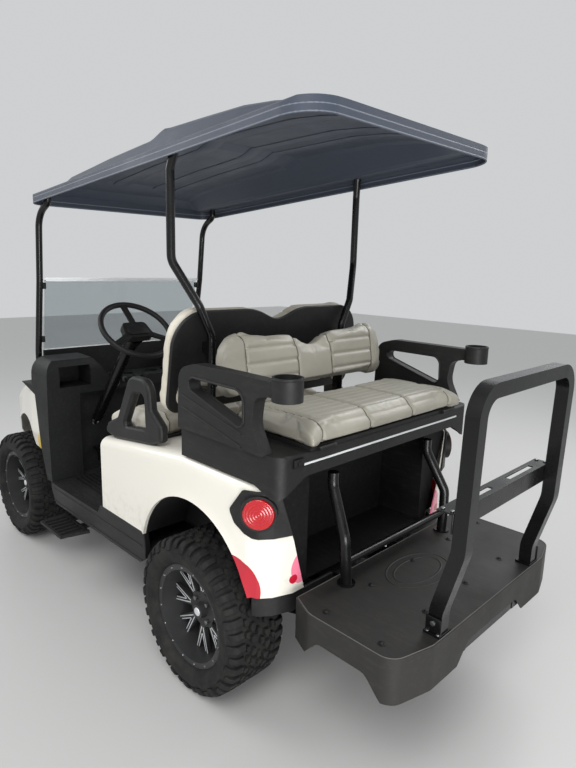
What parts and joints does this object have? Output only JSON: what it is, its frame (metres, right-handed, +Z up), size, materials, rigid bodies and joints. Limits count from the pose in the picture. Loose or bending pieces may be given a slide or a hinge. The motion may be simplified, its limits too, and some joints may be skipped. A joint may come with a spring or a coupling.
{
  "type": "four-seat golf cart",
  "caption": "Lifted golf cart with a roof, a front bench, a rear-facing flip seat, a foot deck and a grab bar, rolling on all-terrain tyres.",
  "frame": {"origin": "on the floor under the middle of the cart's length, on its centre line", "axes": "+X forward, +Y to the driver's left, +Z up"},
  "size_m": [3.0124, 1.336, 2.0748],
  "materials": {
    "white_body": "glossy cream white paint on moulded body panels",
    "dark_plastic": "matte charcoal moulded plastic",
    "roof_plastic": "matte dark charcoal roof",
    "black_steel": "gloss black powder-coated steel",
    "axle_iron": "dull black cast and forged parts",
    "battery_grey": "plain battery case",
    "red_lens": "red ribbed lamp lens",
    "clear_lens": "clear headlight lens",
    "tinted_glass": "tinted clear sheet",
    "grey_vinyl": "grey stitched vinyl",
    "light_vinyl": "light grey stitched vinyl",
    "cream_vinyl": "cream stitched vinyl",
    "seat_board": "black seat board",
    "soft_black": "soft black grip",
    "tyre_rubber": "black all-terrain rubber",
    "rim_black": "matte black with machined silver edges"
  },
  "bodies": {
    "chassis": {"frame": "black_steel", "battery_pack": "battery_grey", "rear_axle": "axle_iron", "rear_springs": "black_steel", "front_springs": "black_steel", "front_axle": "black_steel", "floor_pan": "dark_plastic", "rocker_panels": "dark_plastic", "side_steps": "black_steel", "rear_body": "white_body", "wheel_liners": "dark_plastic", "bag_well": "dark_plastic", "rear_valance": "dark_plastic", "tail_light_bezels": "dark_plastic", "tail_lights": "red_lens", "inner_cowl": "dark_plastic", "front_cowl": "white_body", "front_bumper": "dark_plastic", "headlights": "clear_lens", "windshield_lower": "tinted_glass", "windshield_upper": "tinted_glass", "windshield_trim": "dark_plastic", "roof": "roof_plastic", "front_struts": "black_steel", "rear_struts": "black_steel", "front_seat_hinges": "black_steel", "front_seat_back": "cream_vinyl", "front_seat_shell": "dark_plastic", "hip_restraint_left": "dark_plastic", "hip_restraint_right": "dark_plastic", "rear_seat_tray": "dark_plastic", "rear_seat_back": "grey_vinyl", "rear_seat_frame": "black_steel", "armrest_left": "dark_plastic", "armrest_right": "dark_plastic", "foot_deck": "dark_plastic", "foot_deck_frame": "black_steel", "foot_posts": "black_steel", "grab_bar": "black_steel", "grab_bar_ledge": "black_steel", "steering_column": "black_steel", "pedals": "black_steel"},
    "knuckle_left_body": {"knuckle_left": "axle_iron"},
    "knuckle_right_body": {"knuckle_right": "axle_iron"},
    "tie_rod_body": {"tie_rod": "axle_iron"},
    "steering_wheel_body": {"steering_wheel": "soft_black"},
    "front_seat_body": {"front_seat_board": "seat_board", "front_seat_cushion": "light_vinyl"},
    "rear_seat_body": {"rear_seat_board": "seat_board", "rear_seat_cushion": "grey_vinyl"},
    "wheel_front_left": {"tyre_front_left": "tyre_rubber", "rim_front_left": "rim_black"},
    "wheel_front_right": {"tyre_front_right": "tyre_rubber", "rim_front_right": "rim_black"},
    "wheel_rear_left": {"tyre_rear_left": "tyre_rubber", "rim_rear_left": "rim_black"},
    "wheel_rear_right": {"tyre_rear_right": "tyre_rubber", "rim_rear_right": "rim_black"}
  },
  "joints": [
    {"name": "steer_left", "type": "hinge", "parent": "chassis", "child": "knuckle_left_body", "pos_m": [1.106, 0.4, 0.292], "axis": [0, 0, 1], "range_deg": [-28, 28]},
    {"name": "steer_right", "type": "hinge", "parent": "chassis", "child": "knuckle_right_body", "pos_m": [1.106, -0.4, 0.292], "axis": [0, 0, 1], "range_deg": [-28, 28]},
    {"name": "tie_rod_slide", "type": "slide", "parent": "chassis", "child": "tie_rod_body", "axis": [0, 1, 0], "range_m": [-0.0605, 0.0605]},
    {"name": "steering_wheel_turn", "type": "hinge", "parent": "chassis", "child": "steering_wheel_body", "pos_m": [0.246, 0.3, 1.24], "axis": [-0.6428, 0, 0.766], "range_deg": [-340, 340]},
    {"name": "spin_front_left", "type": "hinge", "parent": "knuckle_left_body", "child": "wheel_front_left", "pos_m": [1.106, 0.484, 0.292], "axis": [0, 1, 0], "continuous": true},
    {"name": "spin_front_right", "type": "hinge", "parent": "knuckle_right_body", "child": "wheel_front_right", "pos_m": [1.106, -0.484, 0.292], "axis": [0, 1, 0], "continuous": true},
    {"name": "spin_rear_left", "type": "hinge", "parent": "chassis", "child": "wheel_rear_left", "pos_m": [-0.594, 0.519, 0.292], "axis": [0, 1, 0], "continuous": true},
    {"name": "spin_rear_right", "type": "hinge", "parent": "chassis", "child": "wheel_rear_right", "pos_m": [-0.594, -0.519, 0.292], "axis": [0, 1, 0], "continuous": true},
    {"name": "front_seat_lift", "type": "hinge", "parent": "chassis", "child": "front_seat_body", "pos_m": [-0.209, 0, 0.84844], "axis": [0, -1, 0], "range_deg": [0, 60]},
    {"name": "rear_seat_flip", "type": "hinge", "parent": "chassis", "child": "rear_seat_body", "pos_m": [-1.019, 0, 0.99], "axis": [0, -1, 0], "range_deg": [0, 180]}
  ],
  "couplings": [
    {"joint": "steer_right", "follows": "steer_left", "ratio": 1},
    {"joint": "tie_rod_slide", "follows": "steer_left", "m_per_rad": -0.1235},
    {"joint": "steering_wheel_turn", "follows": "steer_left", "ratio": 12}
  ]
}
